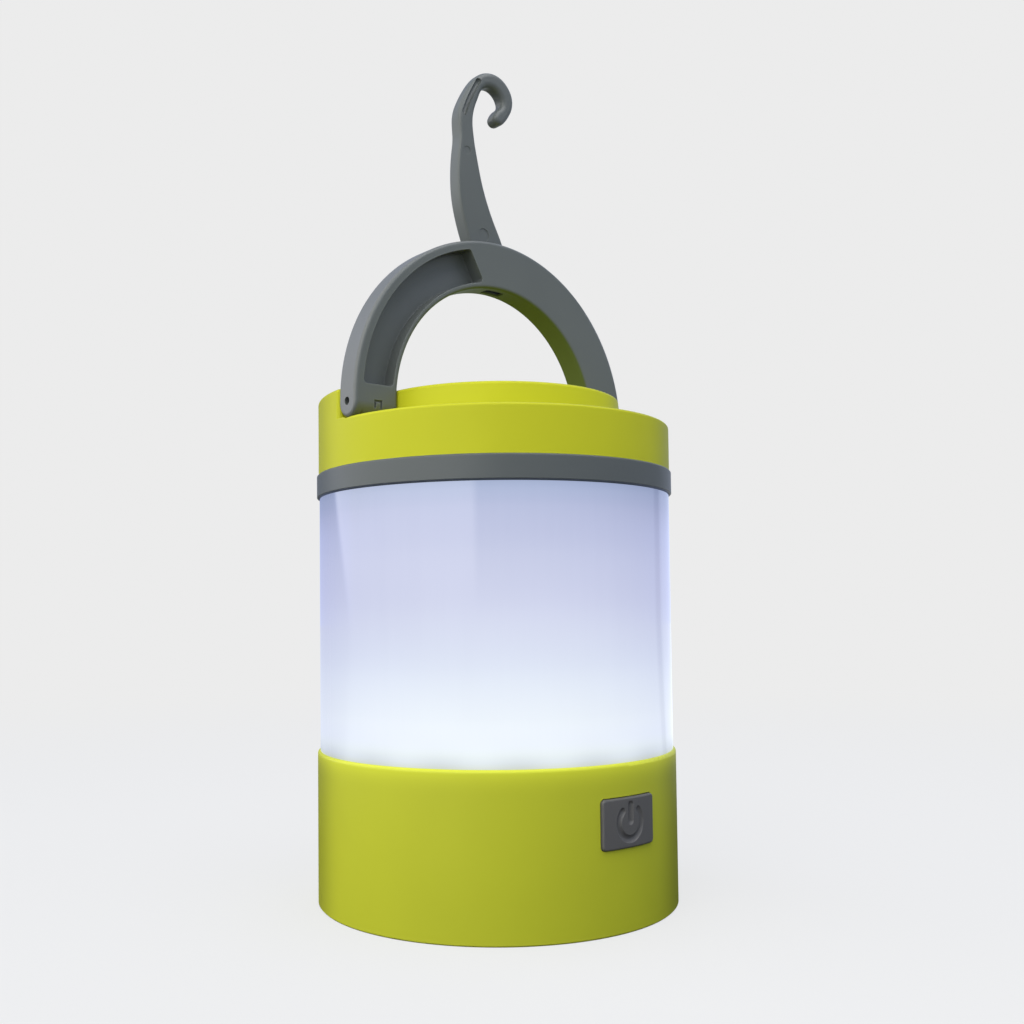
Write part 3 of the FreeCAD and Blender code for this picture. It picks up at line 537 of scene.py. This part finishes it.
# ----------------------------------------------------------------------------
# closed outlines: arrays of (x, z) points in mm
# ----------------------------------------------------------------------------
def flat_face_outline(node_name, y):
    """Longest closed loop round the face of a CAD node that lies flat at this y (metres)."""
    mesh = cad_nodes[node_name].data
    uses = Counter()
    for polygon in mesh.polygons:
        corners = [mesh.vertices[i].co for i in polygon.vertices]
        if all(abs(co.y - y) < 2e-6 for co in corners):
            keys = [(round(co.x * 1e5), round(co.z * 1e5)) for co in corners]   # 0.01 mm
            uses.update((min(a, b), max(a, b))
                        for a, b in zip(keys, keys[1:] + keys[:1]) if a != b)
    neighbours = {}
    for (a, b), count in uses.items():
        if count == 1:      # an edge of one polygon only is on the border
            neighbours.setdefault(a, []).append(b)
            neighbours.setdefault(b, []).append(a)
    loops, visited = [], set()
    for start in sorted(neighbours):
        if start in visited:
            continue
        loop, previous, current = [start], None, start
        visited.add(start)
        while True:
            options = [p for p in neighbours[current]
                       if p != previous and (p not in visited or p == start)]
            if not options or options[0] == start:
                break
            previous, current = current, options[0]
            loop.append(current)
            visited.add(current)
        loops.append(loop)
    return np.array([(x / 100.0, z / 100.0) for x, z in max(loops, key=len)])


def resample(outline, count):
    closed = np.vstack([outline, outline[:1]])
    length = np.r_[0, np.cumsum(np.hypot(*np.diff(closed, axis=0).T))]
    stations = np.linspace(0, length[-1], count, endpoint=False)
    return np.c_[np.interp(stations, length, closed[:, 0]),
                 np.interp(stations, length, closed[:, 1])]


def smooth_loop(values, passes):
    for _ in range(passes):
        values = (np.roll(values, 1, 0) + 2 * values + np.roll(values, -1, 0)) / 4
    return values


def directions(outline):
    """Unit tangents and outward normals of a counter-clockwise outline."""
    tangent = np.roll(outline, -1, 0) - np.roll(outline, 1, 0)
    tangent /= np.hypot(*tangent.T)[:, None]
    return tangent, np.c_[tangent[:, 1], -tangent[:, 0]]


# ----------------------------------------------------------------------------
# hook: the CAD outline with a rounded section, almost round in the curl (mm)
# ----------------------------------------------------------------------------
HOOK_THICKNESS = 4.0
HOOK_FRONT = -HOOK_THICKNESS / 2
OUTLINE_POINTS = 900
ROUNDING_STEPS = 9
BALL_CENTRE = np.array((2.02, 200.60))      # ball end of the curl
BALL_RADIUS = 1.75
UNGROWN_CENTRE = (-0.45, 204.05)            # within this disc the outline keeps its width
UNGROWN_RADIUS = 4.6
TOOL_START = -3.0                           # y in front of the hook where cutters begin
PIN_Z, PIN_HOLE_RADIUS = 160.91, 1.3
GROOVE_RADIUS = 0.72
GROOVE_PATH = [     # x, y, z
    (-9.85, -1.85, 198.6), (-9.1, -1.83, 200.7), (-7.85, -1.8, 203.3),
    (-6.4, -1.8, 205.9), (-4.95, -1.75, 208.3),
]
EJECTOR_MARKS = [   # x, z, radius, depth
    (-9.05, 189.0, 1.1, 0.12),
    (-3.95, 168.1, 1.75, 0.14),
]


def hook_outline():
    outline = flat_face_outline("hook", HOOK_FRONT * MM)
    outline = smooth_loop(resample(outline, OUTLINE_POINTS), 6)
    x, z = outline.T
    if np.sum(x * np.roll(z, -1) - np.roll(x, -1) * z) < 0:
        outline = outline[::-1]     # counter-clockwise

    # round the end of the curl to a ball
    x, z = outline.T
    at_end = (z < 200.8) & (x > -2.0) & (x < 3.2) & (z > 197.0)
    offset = outline - BALL_CENTRE
    ball = BALL_CENTRE + offset * (BALL_RADIUS / np.hypot(*offset.T))[:, None]
    outline = smooth_loop(np.where(at_end[:, None], ball, outline), 16)

    # a rounded section needs a little more width than the sharp-cornered CAD outline
    x, z = outline.T
    normal = directions(outline)[1]
    left_growth = 0.28 * np.clip(-normal[:, 0], 0, 1)
    right_growth = 0.16 * np.clip(normal[:, 0], 0, 1) * np.clip((190 - z) / 20, 0, 1)
    growth = np.where(z > 198, 0.30, left_growth + right_growth)
    in_disc = np.hypot(x - UNGROWN_CENTRE[0], z - UNGROWN_CENTRE[1]) < UNGROWN_RADIUS
    growth = np.where(in_disc | (z < 166), 0.0, growth)
    growth = smooth_loop(growth, 200)
    return smooth_loop(resample(outline + normal * growth[:, None], OUTLINE_POINTS), 6)


def rounding_radius(outline, tangent):
    """Edge radius at each point: larger in the curl, smaller where the outline is tight."""
    reach = 4           # points either side over which the turn is measured
    least_turn = 0.02   # radians per mm, positive where convex
    step = np.hypot(*(np.roll(outline, -1, 0) - outline).T).mean()
    heading = np.arctan2(tangent[:, 1], tangent[:, 0])
    change = np.roll(heading, -reach) - np.roll(heading, reach)
    turn = smooth_loop(np.angle(np.exp(1j * change)) / (2 * reach * step), 10)
    limit = np.where(turn > least_turn, 0.80 / np.maximum(turn, least_turn), 99.0)
    wanted = 0.60 + 0.80 * np.clip((outline[:, 1] - 194.0) / 8.0, 0, 1)
    radius = np.minimum(wanted, limit)
    for _ in range(60):
        radius = np.minimum(radius, (np.roll(radius, 1) + np.roll(radius, -1)) / 2 + 0.01)
    return smooth_loop(radius, 12)


def hook_body():
    outline = hook_outline()
    tangent, normal = directions(outline)
    radius = rounding_radius(outline, tangent)
    bm = bmesh.new()
    halves = []
    for side in (-1, 1):
        half = []
        for k in range(ROUNDING_STEPS + 1):
            angle = math.pi / 2 * k / ROUNDING_STEPS
            inset = radius * (1 - math.cos(angle))
            ys = side * (HOOK_THICKNESS / 2 - radius + radius * math.sin(angle))
            ring = outline - normal * inset[:, None]
            half.append([bm.verts.new((x * MM, y * MM, z * MM)) for (x, z), y in zip(ring, ys)])
        halves.append(half)
    loops = list(reversed(halves[0])) + halves[1]
    bridge(bm, loops)

    # flat faces: constrained triangles inside the first and last loops
    rim = outline - normal * radius[:, None]
    corners = [Vector((float(x), float(z))) for x, z in rim]
    filled = delaunay_2d_cdt(corners, [], [list(range(len(rim)))], 1, 1e-7)
    nearest = [int(np.argmin(np.hypot(rim[:, 0] - v[0], rim[:, 1] - v[1]))) for v in filled[0]]
    for loop in (loops[0], loops[-1]):
        for triangle in filled[2]:
            indices = [nearest[i] for i in triangle]
            if len(set(indices)) == 3:
                try:
                    bm.faces.new([loop[i] for i in indices])
                except ValueError:
                    pass    # merged points can give the same triangle twice
    bmesh.ops.recalc_face_normals(bm, faces=bm.faces)
    return mesh_object("hook_moulded", bm, grey_hook.material)


def build_hook():
    hook = hook_body()
    # This tube runs along Y, the axis its rings are turned from, so the rings have no width
    # and it opens no round hole.
    pin_path = [(0, y, PIN_Z) for y in (-3, 0, 3)]
    cut(hook, tube_tool(pin_path, PIN_HOLE_RADIUS, segments=40))
    # sink groove along the bar that leads into the curl
    cut(hook, tube_tool(GROOVE_PATH, GROOVE_RADIUS, segments=24))
    for x, z, radius, depth in EJECTOR_MARKS:
        cut(hook, disc_tool(x, z, radius, TOOL_START, HOOK_FRONT + depth, taper=0.06))
    for polygon in hook.data.polygons:
        polygon.use_smooth = True
    hook.data.set_sharp_from_angle(angle=math.radians(40))
    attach(hook, "hook")
    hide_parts("hook")


build_hook()


# ----------------------------------------------------------------------------
# surroundings; azimuths are degrees to the right of the camera's side of the lantern
# ----------------------------------------------------------------------------
# fraction of the way from the horizon to overhead, brightness of the window
WINDOW_PROFILE = [
    (0.0, 0.04), (0.030, 0.62), (0.065, 1.0), (0.14, 0.92),
    (0.22, 0.42), (0.60, 0.36), (0.80, 0.15), (1.0, 0.1),
]
LEFT_SECTOR = (-108.0, -100.0)      # azimuths where the room changes on the left
BRIGHT_RIM = (133.0, 139.0)         # azimuths over which the far right brightens


def dark_strip(g, azimuth):
    """1 inside a narrow upright strip behind the lantern on the right."""
    return g.times(g.remap(azimuth, span=(123.0, 127.0), smooth=True),
                   g.remap(azimuth, span=(131.0, 135.0), to=(1.0, 0.0), smooth=True))


def build_world():
    """A plain backdrop for the camera; a room with a large left window for all other rays."""
    world = bpy.data.worlds.new("studio")
    scene.world = world
    g = Graph(world, "ShaderNodeOutputWorld")
    generated = g.node("TexCoord", output="Generated")
    ray = g.node("VectorMath", {0: generated}, operation="NORMALIZE")
    towards, right, upward = [
        g.node("VectorMath", {0: ray, 1: axis}, output="Value", operation="DOT_PRODUCT")
        for axis in (TOWARDS_CAMERA, CAMERA_RIGHT, (0.0, 0.0, 1.0))]
    azimuth = g.degrees(right, towards)
    elevation = g.math("DIVIDE", g.math("ARCSINE", upward), DEGREE)

    # window: slanted left edge, upright right edge, brightest close above the horizon
    left_edge = g.math("MULTIPLY_ADD", g.math("MINIMUM", elevation, 7.0), -3.0, -105.0)
    window = g.times(g.remap(g.minus(azimuth, left_edge), span=(-2.0, 3.0), smooth=True),
                     g.remap(azimuth, span=(-14.5, -8.5), to=(1.0, 0.0), smooth=True))
    window = g.times(window, g.remap(azimuth, span=(-114.0, -72.0), to=(0.74, 1.0)))
    profile = g.ramp(g.remap(elevation, span=(0.0, 90.0)), WINDOW_PROFILE)
    window = g.times(g.times(window, profile), 2.0)

    # the rest of the room: dimmer past the window's left edge and in the dark strip
    room = g.remap(g.minus(azimuth, left_edge), span=(-4.0, 0.0), to=(0.45, 1.0), smooth=True)
    room = g.times(room, g.math("MULTIPLY_ADD", dark_strip(g, azimuth), -0.75, 1.0))
    room = g.plus(room, g.remap(azimuth, span=BRIGHT_RIM, to=(0.0, 0.38), smooth=True))
    level = g.times(g.remap(elevation, span=(-5.0, 35.0), to=(0.50, 0.66), smooth=True),
                    g.remap(azimuth, span=(20.0, 90.0), to=(1.0, 0.88), smooth=True))
    room = g.times(room, level)
    colour = g.mix(g.remap(azimuth, span=(-20.0, 60.0), smooth=True),
                   (0.90, 0.99, 1.06), (0.86, 0.97, 1.24))
    colour = g.mix(g.remap(azimuth, span=LEFT_SECTOR, to=(1.0, 0.0), smooth=True),
                   colour, (0.90, 1.05, 1.60))

    surroundings = g.node("AddShader", {
        0: g.node("Background", {0: colour, 1: room}),
        1: g.node("Background", {0: (1.03, 1.0, 0.965), 1: window})})
    seen_by_camera = g.node("LightPath", output="Is Camera Ray")
    g.show(g.mix_shader(seen_by_camera, surroundings, g.node("Background", {0: BACKDROP})))


def floor_material():
    m = Material("pale_floor")
    x, y, _ = m.axes
    distance = m.math("SQRT", m.plus(m.times(x, x), m.times(y, y)))

    # for the camera: a pale floor that takes shadows, fading into the backdrop
    pale = m.node("AddShader", {
        0: m.node("BsdfDiffuse", {0: (0.15, 0.15, 0.15)}),
        1: m.emission((1.0, 1.0, 1.0), strength=0.70)})
    far = m.remap(distance, span=(0.16, 0.75), smooth=True)
    visible = m.mix_shader(far, pale, m.emission(BACKDROP, strength=1.0))

    # for the lantern: a dark table near by, a lit room floor further out
    towards, right = [m.plus(m.times(x, axis[0]), m.times(y, axis[1]))
                      for axis in (TOWARDS_CAMERA, CAMERA_RIGHT)]
    azimuth = m.degrees(right, towards)
    level = m.times(m.remap(azimuth, span=LEFT_SECTOR, to=(0.52, 1.0), smooth=True),
                    m.math("MULTIPLY_ADD", dark_strip(m, azimuth), -0.70, 1.0))
    level = m.plus(level, m.remap(azimuth, span=BRIGHT_RIM, to=(0.0, 0.30), smooth=True))
    # even right under the foot, so that the underside shows no sectors
    outside_foot = m.remap(distance, span=(0.044, 0.046))
    level = m.math("MULTIPLY_ADD", m.minus(level, 1.0), outside_foot, 1.0)
    spread = m.remap(distance, span=(0.10, 0.42), to=(0.05, 0.52), smooth=True)
    reflected = m.emission((0.94, 1.0, 1.03), strength=m.times(level, spread))

    seen_by_camera = m.node("LightPath", output="Is Camera Ray")
    top = m.mix_shader(seen_by_camera, reflected, visible)
    # clear from below
    backfacing = m.node("NewGeometry", output="Backfacing")
    m.show(m.mix_shader(backfacing, top, m.node("BsdfTransparent")))
    return m.material


def build_floor():
    bm = bmesh.new()
    bmesh.ops.create_circle(bm, cap_ends=True, radius=6.0, segments=96)
    floor = mesh_object("stage_floor", bm, floor_material())
    floor.location.z = -0.00002


# ----------------------------------------------------------------------------
# camera and lights
# ----------------------------------------------------------------------------
CAMERA_DISTANCE = 286.35 * MM
CAMERA_HEIGHT = 71.59 * MM
CAMERA_YAW, CAMERA_PITCH, CAMERA_ROLL = -0.0276, 0.0453, -0.0098    # radians


def build_camera():
    data = bpy.data.cameras.new("camera")
    camera = bpy.data.objects.new("camera", data)
    scene.collection.objects.link(camera)
    # aim as seen from straight in front, then swing the whole station round Z
    forward = Vector((math.sin(CAMERA_YAW) * math.cos(CAMERA_PITCH),
                      math.cos(CAMERA_YAW) * math.cos(CAMERA_PITCH), math.sin(CAMERA_PITCH)))
    level_right = Vector((math.cos(CAMERA_YAW), -math.sin(CAMERA_YAW), 0.0))
    level_up = level_right.cross(forward)
    right = level_right * math.cos(CAMERA_ROLL) + level_up * math.sin(CAMERA_ROLL)
    up = level_up * math.cos(CAMERA_ROLL) - level_right * math.sin(CAMERA_ROLL)
    aim = Matrix((right, up, -forward)).transposed()
    swing = Matrix.Rotation(-CAMERA_ANGLE, 3, "Z")
    station = swing @ Vector((0, -CAMERA_DISTANCE, CAMERA_HEIGHT))
    camera.matrix_world = Matrix.Translation(station) @ (swing @ aim).to_4x4()
    data.sensor_width = 36.0
    data.lens = 39.2445703
    data.shift_x = 0.047587891
    data.shift_y = 0.048154297
    data.clip_start = 0.01
    data.clip_end = 50.0
    scene.camera = camera


def area_light(name, azimuth, elevation, distance, size, power, colour, aim_height=0.09):
    """Rectangular light aimed at a point on the lantern's axis; angles in degrees."""
    data = bpy.data.lights.new(name, "AREA")
    data.shape = "RECTANGLE"
    data.size, data.size_y = size
    data.energy = power
    data.color = colour
    light = bpy.data.objects.new(name, data)
    scene.collection.objects.link(light)
    target = Vector((0, 0, aim_height))
    turn = math.radians(azimuth) - CAMERA_ANGLE
    rise = math.radians(elevation)
    direction = Vector((math.sin(turn) * math.cos(rise), -math.cos(turn) * math.cos(rise),
                        math.sin(rise)))
    light.location = direction * distance + target
    light.rotation_mode = "QUATERNION"
    light.rotation_quaternion = (target - light.location).to_track_quat("-Z", "Y")


build_world()
build_floor()
build_camera()
area_light("key", azimuth=-15, elevation=40, distance=0.72, size=(0.5, 0.4), power=1.1,
           colour=(1.0, 0.985, 0.95))
area_light("top", azimuth=55, elevation=66, distance=0.36, size=(0.26, 0.22), power=0.40,
           colour=(1.0, 0.99, 0.97), aim_height=0.12)

scene.view_settings.view_transform = "Standard"
scene.view_settings.look = "None"
scene.view_settings.exposure = 0.0
scene.view_settings.gamma = 1.0
scene.cycles.use_denoising = True
scene.cycles.max_bounces = 8
scene.cycles.diffuse_bounces = 4
